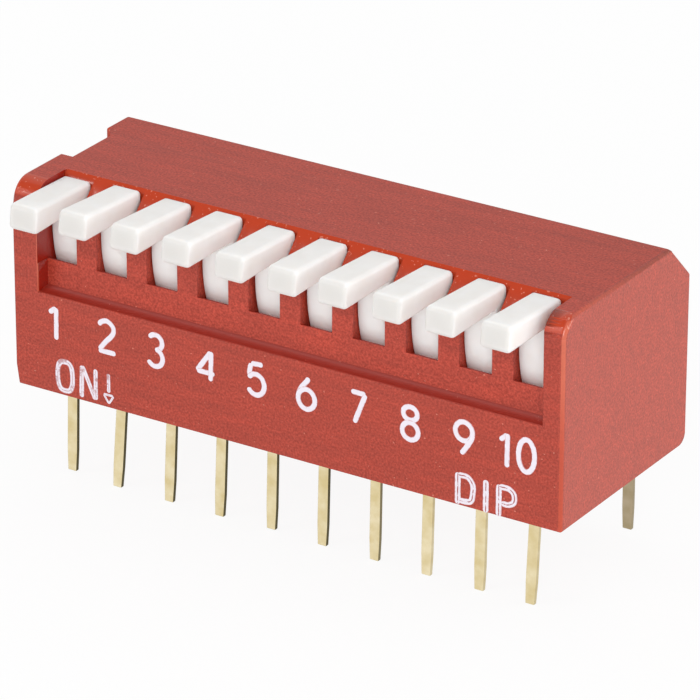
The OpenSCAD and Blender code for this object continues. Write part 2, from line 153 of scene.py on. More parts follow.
# ---------------------------------------------------------------- materials
def moulded_red(name, hollow, raised, slope_reflection_tone, deep, shaded, edges, fleck_and_glint):
    """Glass-filled PBT, injection moulded in brick red. Flat faces carry the tool's spark-eroded grain and
    look a little grey. The sloped brow and the round top corners are smoother, with a more orange painted
    reflection; the wall at the panel's left end is smoother, with deep, saturated painted shade; the right
    end's outer corners carry a paler painted highlight, most near the top; pale flecks of fibre lie in the
    skin, and painted glints among them.
    The colours in order: hollow and raised are the grain's two shades; then the brow's painted reflection,
    the left wall's painted shade, the ledge's painted shade, the corners' painted highlight at the foot and
    at the top, and the flecks' and glints' colour."""
    round_z, round_colour_z, round_smooth_z = 7.5, 8.66, 8.42
    panel_y, front_wall_y = -4.47, -4.9
    panel_left_x, right_end_x, ledge_z = -12.1, 12.9, 6.0
    material, tree, place = new_material(name)
    at = add_node(tree, "ShaderNodeSeparateXYZ", {0: place}).outputs
    normal = add_node(tree, "ShaderNodeNewGeometry").outputs["True Normal"]
    facing = add_node(tree, "ShaderNodeSeparateXYZ", {0: normal}).outputs
    # 1 on the brow and on the upper part of the end walls' round top corners, which get a more orange
    # painted reflection
    leaning = add_node(tree, "ShaderNodeMapRange", {0: facing["Y"], 1: -0.02, 2: -0.1},
                       interpolation_type="SMOOTHSTEP").outputs[0]
    high = add_node(tree, "ShaderNodeMapRange", {0: at["Z"], 1: round_z, 2: round_z + 0.1}).outputs[0]
    leaning = add_node(tree, "ShaderNodeMath", {0: leaning, 1: high}, operation="MULTIPLY").outputs[0]
    brow = add_node(tree, "ShaderNodeMapRange", {0: at["Y"], 1: panel_y, 2: panel_y + 0.03}).outputs[0]
    rounded = add_node(tree, "ShaderNodeMapRange", {0: at["Z"], 1: round_colour_z,
                                                    2: round_colour_z + 0.08}).outputs[0]
    rounded = add_node(tree, "ShaderNodeMath", {0: brow, 1: rounded}, operation="MAXIMUM").outputs[0]
    sloped = add_node(tree, "ShaderNodeMath", {0: leaning, 1: rounded}, operation="MULTIPLY").outputs[0]
    # smoothness begins a little lower on the round corners than their colour does
    rounded = add_node(tree, "ShaderNodeMapRange", {0: at["Z"], 1: round_smooth_z,
                                                    2: round_smooth_z + 0.08}).outputs[0]
    rounded = add_node(tree, "ShaderNodeMath", {0: brow, 1: rounded}, operation="MAXIMUM").outputs[0]
    smooth = add_node(tree, "ShaderNodeMath", {0: leaning, 1: rounded}, operation="MULTIPLY").outputs[0]
    # 1 on the wall at the panel's left end, which gets deep, saturated painted shade
    inside = add_node(tree, "ShaderNodeMapRange", {0: at["X"], 1: panel_left_x,
                                                   2: panel_left_x - 0.05}).outputs[0]
    drawn = add_node(tree, "ShaderNodeMapRange", {0: facing["X"], 1: 0.6, 2: 0.9},
                     interpolation_type="SMOOTHSTEP").outputs[0]
    drawn = add_node(tree, "ShaderNodeMath", {0: drawn, 1: inside}, operation="MULTIPLY").outputs[0]
    # 1 on the ledge's upper side and the slots' sills, which get painted shade
    low = add_node(tree, "ShaderNodeMapRange", {0: at["Z"], 1: ledge_z, 2: ledge_z - 0.1}).outputs[0]
    ledge = add_node(tree, "ShaderNodeMapRange", {0: facing["Z"], 1: 0.8, 2: 0.95},
                     interpolation_type="SMOOTHSTEP").outputs[0]
    ledge = add_node(tree, "ShaderNodeMath", {0: ledge, 1: low}, operation="MULTIPLY").outputs[0]
    # 1 on the right end's rounded edges, towards the front and towards the top, which get a paler painted
    # highlight, paler still higher up
    frontward = add_node(tree, "ShaderNodeMath", {0: facing["Y"], 1: -1.0},
                         operation="MULTIPLY").outputs[0]
    topward = add_node(tree, "ShaderNodeMath", {0: facing["Z"], 1: 0.5}, operation="MULTIPLY").outputs[0]
    outward = add_node(tree, "ShaderNodeMath", {0: frontward, 1: topward}, operation="MAXIMUM").outputs[0]
    outward = add_node(tree, "ShaderNodeMath", {0: outward, 1: facing["X"]},
                       operation="MULTIPLY").outputs[0]
    corner = add_node(tree, "ShaderNodeMapRange", {0: outward, 1: 0.12, 2: 0.4, 4: 0.8},
                      interpolation_type="SMOOTHSTEP").outputs[0]
    upper = add_node(tree, "ShaderNodeMapRange", {0: at["Z"], 1: 3.0, 2: 7.5},
                     interpolation_type="SMOOTHSTEP").outputs[0]
    edge = add_node(tree, "ShaderNodeMix", {0: upper, 6: linear(edges[0]), 7: linear(edges[1])},
                    data_type="RGBA").outputs[2]
    # grain: real grit is about 0.03 mm, drawn at 0.1 mm so that it shows
    grain = add_node(tree, "ShaderNodeTexNoise", {"Vector": place, "Scale": 1 / 0.1, "Detail": 2.0,
                                                  "Roughness": 0.65}).outputs[0]
    grain_shade = add_node(tree, "ShaderNodeMapRange", {0: grain, 1: 0.34, 2: 0.66}).outputs[0]
    shade = add_node(tree, "ShaderNodeMix", {0: grain_shade, 6: linear(hollow), 7: linear(raised)},
                     data_type="RGBA").outputs[2]
    # melt flow leaves faint streaks along the length, about 0.4 mm wide and 3 mm long
    stretched = add_node(tree, "ShaderNodeVectorMath", {0: place, 1: (0.13, 1, 1)},
                         operation="MULTIPLY").outputs[0]
    streak = add_node(tree, "ShaderNodeTexNoise", {"Vector": stretched, "Scale": 1 / 0.4, "Detail": 3.0,
                                                   "Roughness": 0.6}).outputs[0]
    streak = add_node(tree, "ShaderNodeMapRange", {0: streak, 1: 0.25, 2: 0.75,
                                                   3: 0.85, 4: 1.15}).outputs[0]
    # painted shade: the front face is drawn slightly darker
    front_shade = add_node(tree, "ShaderNodeMapRange", {0: at["Y"], 1: front_wall_y, 2: front_wall_y - 0.1,
                                                  3: 1.0, 4: 0.92}).outputs[0]
    for strength in (streak, front_shade):
        shade = add_node(tree, "ShaderNodeVectorMath", {0: shade, "Scale": strength},
                         operation="SCALE").outputs[0]
    # painted sheen: the outer end face is faintly lightened towards pale pink
    end_sheen = add_node(tree, "ShaderNodeMapRange", {0: at["X"], 1: right_end_x, 2: right_end_x + 0.05,
                                                  4: 0.06}).outputs[0]
    end_sheen = add_node(tree, "ShaderNodeMath", {0: end_sheen, 1: facing["X"]}, operation="MULTIPLY").outputs[0]
    # painted light and shade: reflection on the slopes, shade on the left wall and the ledge, sheen on the
    # end face, highlight on the right end's corners
    for mask, colour in ((sloped, linear(slope_reflection_tone)), (drawn, linear(deep)), (ledge, linear(shaded)),
                         (end_sheen, linear("#E2BDAE")), (corner, edge)):
        shade = add_node(tree, "ShaderNodeMix", {0: mask, 6: shade, 7: colour},
                         data_type="RGBA").outputs[2]
    # pale flecks 0.1 mm across, fibre in the skin and painted glints, sparse on flat faces and several times
    # denser on the smooth ones
    flecks_and_glints = add_node(tree, "ShaderNodeTexNoise", {"Vector": place, "Scale": 1 / 0.12,
                                                   "Detail": 0.0}).outputs[0]
    limit = add_node(tree, "ShaderNodeMapRange", {0: sloped, 3: 0.83, 4: 0.72}).outputs[0]
    over = add_node(tree, "ShaderNodeMath", {0: flecks_and_glints, 1: limit}, operation="SUBTRACT").outputs[0]
    over = add_node(tree, "ShaderNodeMapRange", {0: over, 1: 0.0, 2: 0.05, 4: 0.5}).outputs[0]
    shade = add_node(tree, "ShaderNodeMix", {0: over, 6: shade, 7: linear(fleck_and_glint)},
                     data_type="RGBA").outputs[2]
    relief_depth = add_node(tree, "ShaderNodeMapRange", {0: smooth, 3: 1.0, 4: 0.25}).outputs[0]
    relief = add_node(tree, "ShaderNodeBump", {"Height": grain, "Distance": 0.008 * MM,
                                               "Strength": relief_depth})
    burnished = add_node(tree, "ShaderNodeMath", {0: smooth, 1: drawn}, operation="MAXIMUM").outputs[0]
    rough = add_node(tree, "ShaderNodeMapRange", {0: burnished, 3: 0.5, 4: 0.2}).outputs[0]
    shader = add_node(tree, "ShaderNodeBsdfPrincipled", {"Base Color": shade, "Roughness": rough, "IOR": 1.5,
                                                         "Normal": relief.outputs[0]})
    add_node(tree, "ShaderNodeOutputMaterial", {0: shader.outputs[0]})
    return material


def moulded_white(name):
    """Acetal, injection moulded in warm white: a satin skin with soft, faintly uneven shading. Light
    scatters about 0.7 mm through it, which softens its shadows and lights up its thin edges. The levers'
    front faces carry a slightly greyer painted shade."""
    lever_middle_y, lever_front_y = -6.6, -7.0
    material, tree, place = new_material(name)
    # clouds 0.8 mm across
    cloud = add_node(tree, "ShaderNodeTexNoise", {"Vector": place, "Scale": 1 / 0.8,
                                                  "Detail": 2.0}).outputs[0]
    cloud = add_node(tree, "ShaderNodeMapRange", {0: cloud, 1: 0.3, 2: 0.7}).outputs[0]
    shade = add_node(tree, "ShaderNodeMix", {0: cloud, 6: linear("#EEECE9"), 7: linear("#F2F1EF")},
                     data_type="RGBA").outputs[2]
    # 1 on the levers' front faces, which get a slightly greyer painted shade
    at = add_node(tree, "ShaderNodeSeparateXYZ", {0: place}).outputs
    normal = add_node(tree, "ShaderNodeNewGeometry").outputs["Normal"]
    frontward = add_node(tree, "ShaderNodeSeparateXYZ", {0: normal}).outputs["Y"]
    frontward = add_node(tree, "ShaderNodeMapRange", {0: frontward, 1: -0.3, 2: -0.9},
                         interpolation_type="SMOOTHSTEP").outputs[0]
    nose_shade = add_node(tree, "ShaderNodeMapRange", {0: at["Y"], 1: lever_middle_y,
                                                2: lever_front_y}).outputs[0]
    nose_shade = add_node(tree, "ShaderNodeMath", {0: nose_shade, 1: frontward}, operation="MULTIPLY").outputs[0]
    shade = add_node(tree, "ShaderNodeMix", {0: nose_shade, 6: shade, 7: linear("#D9D7D4")},
                     data_type="RGBA").outputs[2]
    # fine flow texture of the skin, about 0.15 mm across
    skin = add_node(tree, "ShaderNodeTexNoise", {"Vector": place, "Scale": 1 / 0.15,
                                                 "Detail": 2.0}).outputs[0]
    relief = add_node(tree, "ShaderNodeBump", {"Height": skin, "Distance": 0.002 * MM, "Strength": 1.0})
    shader = add_node(tree, "ShaderNodeBsdfPrincipled", {
        "Base Color": shade, "Roughness": 0.4, "IOR": 1.5, "Normal": relief.outputs[0],
        "Subsurface Weight": 0.8, "Subsurface Radius": (1.0, 0.95, 0.9), "Subsurface Scale": 0.7 * MM})
    add_node(tree, "ShaderNodeOutputMaterial", {0: shader.outputs[0]})
    return material


def stamped_metal(name, pale, deep, sheared, fade_span):
    """Thin spring strip, stamped to shape: satin rolled faces in clouds of pale and deep, and darker,
    duller sheared sides where the die cut it. The sides' darker colour fades to a quarter over the X range
    given last."""
    material, tree, place = new_material(name)
    normal = add_node(tree, "ShaderNodeNewGeometry").outputs["Normal"]
    facing = add_node(tree, "ShaderNodeSeparateXYZ", {0: normal}).outputs
    sideways = add_node(tree, "ShaderNodeMath", {0: facing["X"]}, operation="ABSOLUTE").outputs[0]
    downward = add_node(tree, "ShaderNodeMath", {0: facing["Z"], 1: -1.0}, operation="MULTIPLY").outputs[0]
    cut_face = add_node(tree, "ShaderNodeMath", {0: sideways, 1: downward}, operation="MAXIMUM").outputs[0]
    cut_face = add_node(tree, "ShaderNodeMapRange", {0: cut_face, 1: 0.5, 2: 0.8},
                        interpolation_type="SMOOTHSTEP").outputs[0]
    along_row = add_node(tree, "ShaderNodeSeparateXYZ", {0: place}).outputs["X"]
    sheared_strength = add_node(tree, "ShaderNodeMapRange", {0: along_row, 1: fade_span[0], 2: fade_span[1],
                                                  3: 1.0, 4: 0.25},
                     interpolation_type="SMOOTHSTEP").outputs[0]
    cut_face = add_node(tree, "ShaderNodeMath", {0: cut_face, 1: sheared_strength}, operation="MULTIPLY").outputs[0]
    # clouds 0.6 mm across
    cloud = add_node(tree, "ShaderNodeTexNoise", {"Vector": place, "Scale": 1 / 0.6,
                                                  "Detail": 3.0}).outputs[0]
    cloud = add_node(tree, "ShaderNodeMapRange", {0: cloud, 1: 0.3, 2: 0.7}).outputs[0]
    shade = add_node(tree, "ShaderNodeMix", {0: cloud, 6: linear(pale), 7: linear(deep)},
                     data_type="RGBA").outputs[2]
    shade = add_node(tree, "ShaderNodeMix", {0: cut_face, 6: shade, 7: linear(sheared)},
                     data_type="RGBA").outputs[2]
    # rolling lines run down the strip, 0.04 mm apart
    along = add_node(tree, "ShaderNodeVectorMath", {0: place, 1: (1, 1, 0.08)},
                     operation="MULTIPLY").outputs[0]
    lines = add_node(tree, "ShaderNodeTexNoise", {"Vector": along, "Scale": 1 / 0.04,
                                                  "Detail": 2.0}).outputs[0]
    relief = add_node(tree, "ShaderNodeBump", {"Height": lines, "Distance": 0.002 * MM, "Strength": 1.0})
    rough = add_node(tree, "ShaderNodeMapRange", {0: cut_face, 3: 0.4, 4: 0.6}).outputs[0]
    shader = add_node(tree, "ShaderNodeBsdfPrincipled", {"Base Color": shade, "Metallic": 1.0,
                                                         "Roughness": rough, "Normal": relief.outputs[0]})
    add_node(tree, "ShaderNodeOutputMaterial", {0: shader.outputs[0]})
    return material


def printed_ink(name, hollow, patchy):
    """White pad-printing ink: an even matt film, thinner at the edges of a stroke. Hollow is how far the
    film has let go along the middle of its strokes, patchy how far it has worn away in patches."""
    material, tree, place = new_material(name)
    stroke = add_node(tree, "ShaderNodeUVMap", uv_map="stroke").outputs[0]
    across = add_node(tree, "ShaderNodeSeparateXYZ", {0: stroke}).outputs["Y"]
    off_centre = add_node(tree, "ShaderNodeMath", {0: across, 1: 0.5}, operation="SUBTRACT").outputs[0]
    off_centre = add_node(tree, "ShaderNodeMath", {0: off_centre}, operation="ABSOLUTE").outputs[0]
    # speckle 0.16 mm across makes the edges ragged and breaks up the hollows
    speckle = add_node(tree, "ShaderNodeTexNoise", {"Vector": place, "Scale": 1 / 0.16, "Detail": 3.0,
                                                    "Roughness": 0.6}).outputs[0]
    ragged = add_node(tree, "ShaderNodeMapRange", {0: speckle, 1: 0.3, 2: 0.7,
                                                   3: -0.1, 4: 0.1}).outputs[0]
    ragged = add_node(tree, "ShaderNodeMath", {0: off_centre, 1: ragged}, operation="ADD").outputs[0]
    thin = add_node(tree, "ShaderNodeMapRange", {0: ragged, 1: 0.36, 2: 0.5, 3: 0.0, 4: 0.7},
                    interpolation_type="SMOOTHSTEP").outputs[0]
    shade = add_node(tree, "ShaderNodeMix", {0: thin, 6: linear("#E6E0EA"), 7: linear("#CC8886")},
                     data_type="RGBA").outputs[2]
    middle = add_node(tree, "ShaderNodeMapRange", {0: off_centre, 1: 0.22, 2: 0.04},
                      interpolation_type="SMOOTHSTEP").outputs[0]
    split = add_node(tree, "ShaderNodeMath", {0: speckle, 1: middle}, operation="MULTIPLY").outputs[0]
    split = add_node(tree, "ShaderNodeMapRange", {0: split, 1: 0.36, 2: 0.5, 4: hollow}).outputs[0]
    # patches about half a millimetre across
    patch = add_node(tree, "ShaderNodeTexNoise", {"Vector": place, "Scale": 1 / 0.5, "Detail": 4.0,
                                                  "Roughness": 0.7}).outputs[0]
    patch = add_node(tree, "ShaderNodeMapRange", {0: patch, 1: 0.5, 2: 0.58, 4: patchy}).outputs[0]
    gone = add_node(tree, "ShaderNodeMath", {0: split, 1: patch}, operation="MAXIMUM").outputs[0]
    shade = add_node(tree, "ShaderNodeMix", {0: gone, 6: shade, 7: linear("#A8605E")},
                     data_type="RGBA").outputs[2]
    shader = add_node(tree, "ShaderNodeBsdfPrincipled", {"Base Color": shade, "Roughness": 0.55,
                                                         "IOR": 1.45})
    add_node(tree, "ShaderNodeOutputMaterial", {0: shader.outputs[0]})
    return material


# the terminals are brass under a pale gold flash, the contact strips bare phosphor bronze
# the cover's and base's colours after the grain's two shades are a painted reflection for the brow, painted
# shade for the left wall and the ledge, a painted highlight for the right end's corners, and the colour of
# the fibre flecks and painted glints
cover_finish = moulded_red("moulded_pbt_red", "#962A16", "#BF4632", "#BC3E1E", "#9A1F10", "#962414",
                           ("#C0492C", "#D2684C"), "#E79A84")
base_finish = moulded_red("moulded_pbt_red_base", "#8E2816", "#B03F2D", "#A63319", "#8C1C0F", "#882214",
                          ("#A8412A", "#B9503A"), "#D08A76")
key_finish = moulded_white("moulded_acetal_white")
front_terminal_finish = stamped_metal("gold_flashed_brass", "#F0E3BE", "#DDCB98", "#5A5236", (3, 6))
# the rear row's darker, browner colours are painted shade, for the body standing in front of it
rear_terminal_finish = stamped_metal("gold_flashed_brass_painted_shade", "#B8A98E", "#A79877", "#6E6650",
                                     (-14, -13))
contact_finish = stamped_metal("phosphor_bronze", "#DDB770", "#C99F55", "#A07C45", (14, 15))


# ---------------------------------------------------------------- outlines and slabs
def inward(outline):
    """Mitre direction at each point of a counter-clockwise outline: (n1 + n2) / (1 + n1 . n2), where n1
    and n2 are the inward normals of the two sides that meet there."""
    side = np.roll(outline, -1, 0) - outline
    side /= np.linalg.norm(side, axis=1, keepdims=True)
    normal = np.stack([-side[:, 1], side[:, 0]], -1)
    before = np.roll(normal, 1, 0)
    return (normal + before) / (1 + np.sum(normal * before, 1, keepdims=True))


def rimmed_slab(outline, half_width, rim, steps=7):
    """A Y-Z outline carried along X, with both end rims rounded. At a turn t from 90 degrees to 0, the
    outline is drawn in by rim * (1 - cos t) and stands rim * (1 - sin t) inside the end face."""
    turn = np.linspace(np.pi / 2, 0, steps)
    drawn_in = np.outer(1 - np.cos(turn), rim)
    beside = half_width - np.outer(1 - np.sin(turn), rim)
    rims = np.concatenate([drawn_in, drawn_in[::-1]])
    x = np.concatenate([-beside, beside[::-1]])
    drawn = outline[None] + rims[:, :, None] * inward(outline)[None]
    points = np.concatenate([x[:, :, None], drawn], -1).reshape(-1, 3)
    across = len(outline)
    last = (2 * steps - 1) * across
    faces = ring_faces(2 * steps, across)
    faces.append(list(range(across))[::-1])
    faces.append(list(range(last, last + across)))
    return points, faces


def turned(profile):
    """A profile of (distance along the axis, radius) turned about the Z axis; its ends are closed."""
    sides = 24
    profile = np.array(profile, float)
    angle = np.linspace(0, 2 * np.pi, sides, endpoint=False)
    points = np.stack([np.outer(profile[:, 1], np.cos(angle)), np.outer(profile[:, 1], np.sin(angle)),
                       np.repeat(profile[:, :1], sides, 1)], -1).reshape(-1, 3)
    last = (len(profile) - 1) * sides
    faces = ring_faces(len(profile), sides)
    faces.append(list(range(sides))[::-1])
    faces.append(list(range(last, last + sides)))
    return points, faces


def about_pivot(points, degrees):
    """Turns Y and Z of the points about the keys' pivot; positive lowers the front."""
    angle = math.radians(degrees)
    arm = points[:, 1:] - PIVOT
    turned_arm = arm @ np.array([[math.cos(angle), math.sin(angle)], [-math.sin(angle), math.cos(angle)]])
    return np.concatenate([points[:, :1], turned_arm + PIVOT], 1)


# ---------------------------------------------------------------- cover
def merged_copy(node, name):
    """A copy of a CAD node's mesh with its loose triangles joined into flat faces."""
    mesh = frame["nodes"][node].data.copy()
    mesh.name = name
    mesh.materials.clear()
    work = bmesh.new()
    work.from_mesh(mesh)
    bmesh.ops.remove_doubles(work, verts=work.verts, dist=SAME_POINT)
    flat = math.radians(0.5)
    bmesh.ops.dissolve_limit(work, angle_limit=flat, verts=work.verts, edges=work.edges)
    work.to_mesh(mesh)
    work.free()
    return mesh


def cover_moulding():
    """The CAD cover with its outer edges eased: most at the right end's front, less at the left end's top,
    least around the foot. Slots, ledge and brow keep the radii that the CAD gives them."""
    right_front_ease, left_top_ease, back_ease, rim_ease = 0.2, 0.14, 0.08, 0.05
    # where those edges lie: how far back the notch reaches and how high it starts, and the others' limits
    notch_back, notch_floor, bevel_y, left_top_z, left_draft, round_front = 1.85, 7.8, 3.2, 7.5, 0.2, 1.0
    # an edge is convex past this angle, in radians, and drawn sharp past the crease; places match within
    # near, in millimetres
    convex, crease, near = 0.35, math.radians(32), 0.01
    mesh = merged_copy("cover", "cover_moulding")
    mesh.materials.append(cover_finish)
    work = bmesh.new()
    work.from_mesh(mesh)
    weights = []
    for edge in work.edges:
        ends = np.array([vert.co for vert in edge.verts]) / MM
        low, high = ends.min(0), ends.max(0)
        notch = low[2] > notch_floor and max(abs(low[1]), abs(high[1])) < notch_back
        left, right = high[0] < LEFT_X + left_draft and not notch, low[0] > RIGHT_X - near
        foot = high[1] < FRONT_Y + near and high[2] < SEAT_Z + near
        right_front = right and high[1] < FRONT_Y + round_front + near and high[2] > SEAT_Z + near
        ease = 0.0
        if edge.calc_face_angle_signed() > convex:
            ease = back_ease if low[1] > bevel_y and high[0] - low[0] > 1 else ease
            ease = rim_ease if left or right or foot else ease
            ease = left_top_ease if left and low[2] > left_top_z else ease
            ease = right_front_ease if right_front else ease
        weights.append(ease / right_front_ease)
    work.free()
    mesh.attributes.new("bevel_weight_edge", "FLOAT", "EDGE").data.foreach_set("value", weights)
    mesh.shade_smooth()
    mesh.set_sharp_from_angle(angle=crease)
    piece = add_object("cover_moulding", mesh)
    eased = piece.modifiers.new("eased_edges", "BEVEL")
    eased.limit_method, eased.width, eased.segments = "WEIGHT", right_front_ease * MM, 5
    eased.use_clamp_overlap = False
    keep_flat(piece)
    settle(piece, "body", "cover_plastic", "cover")


# ---------------------------------------------------------------- keys
KEY_WIDTH = 1.38
TRUNNION_RADIUS, TRUNNION_LENGTH = 0.5, 0.3
# from the pivot forward to the nose
NOSE_REACH = 8.4
# how far each key's nose sits to the right of its slot's middle, from play in its bearing
NOSE_SHIFT = (0.02, -0.07, -0.03, -0.03, 0.07, 0.07, -0.06, -0.02, -0.07, -0.03)


def cut_outline(node, x):
    """Outline of a CAD node where the plane at x cuts it, as (y, z) points, counter-clockwise."""
    work = bmesh.new()
    work.from_mesh(frame["nodes"][node].data)
    bmesh.ops.remove_doubles(work, verts=work.verts, dist=SAME_POINT)
    cut = bmesh.ops.bisect_plane(work, geom=work.verts[:] + work.edges[:] + work.faces[:],
                                 dist=SAME_POINT, plane_co=(x * MM, 0, 0), plane_no=(1, 0, 0),
                                 clear_outer=True)
    edges = [item for item in cut["geom_cut"] if isinstance(item, bmesh.types.BMEdge)]
    face = bmesh.ops.holes_fill(work, edges=edges, sides=0)["faces"][0]
    outline = np.array([vert.co.yz for vert in face.verts]) / MM
    work.free()
    shortest_side = 0.012
    outline = outline[np.linalg.norm(np.roll(outline, -1, 0) - outline, axis=1) > shortest_side]
    after = np.roll(outline, -1, 0)
    area = np.sum(outline[:, 0] * after[:, 1] - after[:, 0] * outline[:, 1])
    return outline if area > 0 else outline[::-1]


def key_moulding(n):
    """One key: its CAD outline carried across its width, with its trunnions and its stake turned. The
    outline is cut beside the stake, turned level, and let droop again once the key is whole. The
    lever's rims are well rounded, and ease by 3 t^2 - 2 t^3 of the height into nearly sharp ones below."""
    lever_rim, inner_rim, lever_foot_z, lever_blend = 0.18, 0.05, 8.3, 0.12
    crease = math.radians(35)
    droop = KEY_TRAVEL - frame["joints"][n - 1]["range_deg"][1]
    middle = (n - (POSITIONS + 1) / 2) * PITCH
    beside_stake = 0.42 * KEY_WIDTH
    cut = cut_outline(f"key_{n}", middle + beside_stake)
    flat = about_pivot(np.column_stack([np.zeros(len(cut)), cut]), -droop)[:, 1:]
    lever = np.clip((flat[:, 1] - lever_foot_z) / lever_blend, 0, 1)
    rim = inner_rim + (lever_rim - inner_rim) * lever * lever * (3 - 2 * lever)
    parts = [rimmed_slab(flat, KEY_WIDTH / 2, rim)]
    end, ease = KEY_WIDTH / 2 + TRUNNION_LENGTH, 0.06
    pin, pin_faces = turned([(-end, TRUNNION_RADIUS - ease), (ease - end, TRUNNION_RADIUS),
                             (end - ease, TRUNNION_RADIUS), (end, TRUNNION_RADIUS - ease)])
    parts.append((pin[:, [2, 0, 1]] + [0, *PIVOT], pin_faces))
    # the stake stands under the foot with the key pressed: its formed head, then its shank
    stake, stake_faces = turned([(3.0, 0.32), (3.04, 0.36), (3.1, 0.36), (3.1, 0.22), (3.35, 0.22)])
    stake_y = 0.4
    parts.append((about_pivot(stake + [0, stake_y, 0], -KEY_TRAVEL), stake_faces))
    starts = np.cumsum([0] + [len(points) for points, _ in parts]).tolist()
    faces = [[index + start for index in face]
             for start, (_, part_faces) in zip(starts, parts) for face in part_faces]
    points = about_pivot(np.concatenate([points for points, _ in parts]), droop)
    points[:, 0] += middle + NOSE_SHIFT[n - 1] * (PIVOT[0] - points[:, 1]) / NOSE_REACH
    piece = add_piece(f"key_{n}_moulding", points, faces, key_finish)
    piece.data.set_sharp_from_angle(angle=crease)
    keep_flat(piece)
    settle(piece, f"key_{n}_body", "key_plastic", f"key_{n}")


# ---------------------------------------------------------------- metal parts
def stamped(node, name, finish, radius, body, slot):
    """A CAD strip with its edges eased by a small radius, as a die and barrel tumbling leave them."""
    bend = math.radians(40)
    mesh = merged_copy(node, name)
    mesh.materials.append(finish)
    mesh.shade_smooth()
    mesh.set_sharp_from_angle(angle=bend)
    piece = add_object(name, mesh)
    eased = piece.modifiers.new("eased_edges", "BEVEL")
    eased.width, eased.segments = radius * MM, 2
    eased.limit_method, eased.angle_limit = "ANGLE", bend
    eased.harden_normals = True
    settle(piece, body, slot, node)


cover_moulding()
for material_slot in frame["nodes"]["base"].material_slots:
    material_slot.material = base_finish
for n in range(1, POSITIONS + 1):
    key_moulding(n)
    stamped(f"contact_strip_{n}", f"contact_strip_{n}_stamping", contact_finish, 0.02, f"key_{n}_body",
            "contact_bronze")
    for row, finish in (("front", front_terminal_finish), ("rear", rear_terminal_finish)):
        stamped(f"{row}_terminal_{n}", f"{row}_terminal_{n}_stamping", finish, 0.03, "body",
                "terminal_plating")


# ---------------------------------------------------------------- printed marks
INK_THICKNESS = 0.006
ink = printed_ink("pad_printed_ink", 0.0, 0.0)
patchy_ink = printed_ink("pad_printed_ink_patchy", 0.5, 0.7)
hollow_ink = printed_ink("pad_printed_ink_hollow", 1.0, 0.0)


def line(*points):
    """A straight or bent stroke through points, filled in evenly so that its ends can be rounded."""
    spacing = 0.04
    points = np.array(points, float)
    reach = np.concatenate([[0], np.cumsum(np.linalg.norm(np.diff(points, axis=0), axis=1))])
    even = np.linspace(0, reach[-1], max(8, int(reach[-1] / spacing)))
    steps = np.unique(np.concatenate([reach, even]))
    return np.column_stack([np.interp(steps, reach, points[:, k]) for k in (0, 1)])


def arc(x, z, width, height, start, end, squareness=2.0):
    """Part of a superellipse about (x, z), from one angle to another in degrees: each half axis times
    the cosine or sine raised to 2 / squareness, sign kept. Squareness 2 is an ellipse."""
    angle = np.radians(np.linspace(start, end, max(12, int(abs(end - start) / 7))))
    c, s = np.cos(angle), np.sin(angle)
    power = 2 / squareness
    return np.column_stack([x + width / 2 * np.sign(c) * np.abs(c) ** power,
                            z + height / 2 * np.sign(s) * np.abs(s) ** power])


def curve(*points):
    """A smooth stroke through points: a Catmull-Rom spline, end points doubled. Between b and c, with a
    and d beyond them, it is half of 2b + (c - a) t + (2a - 5b + 4c - d) t^2 + (3b - a - 3c + d) t^3."""
    p = np.array(points, float)
    p = np.concatenate([p[:1], p, p[-1:]])
    t = np.linspace(0, 1, 8, endpoint=False)[None, :, None]
    a, b, c, d = p[:-3, None], p[1:-2, None], p[2:-1, None], p[3:, None]
    spline = 0.5 * (2 * b + (c - a) * t + (2 * a - 5 * b + 4 * c - d) * t ** 2
                    + (3 * b - a - 3 * c + d) * t ** 3)
    return np.concatenate([spline.reshape(-1, 2), p[-1:]])


def inked(name, strokes, finish):
    """Strokes (path, width) as films of ink on the front face. Across each path the film is 4 points
    wide; its half width follows a half circle at each end, so the ends are round. Each stroke is half a
    micrometre thicker than the one before, so that crossing strokes don't share a surface."""
    sunk, shoulder, layer = 0.004, 0.97, 0.0005
    all_points, all_faces, all_uv = [], [], []
    start = 0
    for order, (path, width) in enumerate(strokes):
        closed = np.allclose(path[0], path[-1], atol=1e-6)
        step = np.diff(path, axis=0)
        along = np.concatenate([[0], np.cumsum(np.linalg.norm(step, axis=1))])
        if closed:
            tangent = np.roll(path[:-1], -1, 0) - np.roll(path[:-1], 1, 0)
            tangent = np.concatenate([tangent, tangent[:1]])
            half = np.full(len(path), width / 2)
        else:
            cap = np.linspace(0, width / 2, 7)
            steps = np.unique(np.concatenate([along, cap, along[-1] - cap]).round(5))
            path = np.column_stack([np.interp(steps, along, path[:, k]) for k in (0, 1)])
            along = steps
            ends = np.clip(np.minimum(along, along[-1] - along), 0, width / 2)
            half = np.sqrt(np.maximum((width / 2) ** 2 - (width / 2 - ends) ** 2, 1e-6))
            tangent = np.gradient(path, along, axis=0)
        tangent /= np.linalg.norm(tangent, axis=1, keepdims=True)
        normal = np.column_stack([-tangent[:, 1], tangent[:, 0]])
        thick = INK_THICKNESS + layer * order
        lanes = [(-1, sunk), (-shoulder, -thick), (shoulder, -thick), (1, sunk)]
        rows = [np.column_stack([path[:, 0] + side * half * normal[:, 0], np.full(len(path), FRONT_Y + rise),
                                 path[:, 1] + side * half * normal[:, 1]]) for side, rise in lanes]
        points = np.stack(rows, 1).reshape(-1, 3)
        across = np.array([0.5 + side / 2 for side, _ in lanes])
        uv = np.stack(np.broadcast_arrays(along[:, None], across[None, :]), -1).reshape(-1, 2)
        row, lane = np.meshgrid(np.arange(len(path) - 1), np.arange(3), indexing="ij")
        near, far = row * 4 + lane, (row + 1) * 4 + lane
        quads = np.stack([near, far, far + 1, near + 1], -1)
        all_points.append(points)
        all_faces += (quads.reshape(-1, 4) + start).tolist()
        all_uv.append(uv)
        start += len(points)
    piece = add_piece(name, np.concatenate(all_points), all_faces, finish, np.concatenate(all_uv))
    piece.data.shade_flat()
    settle(piece, "body", "print_ink")


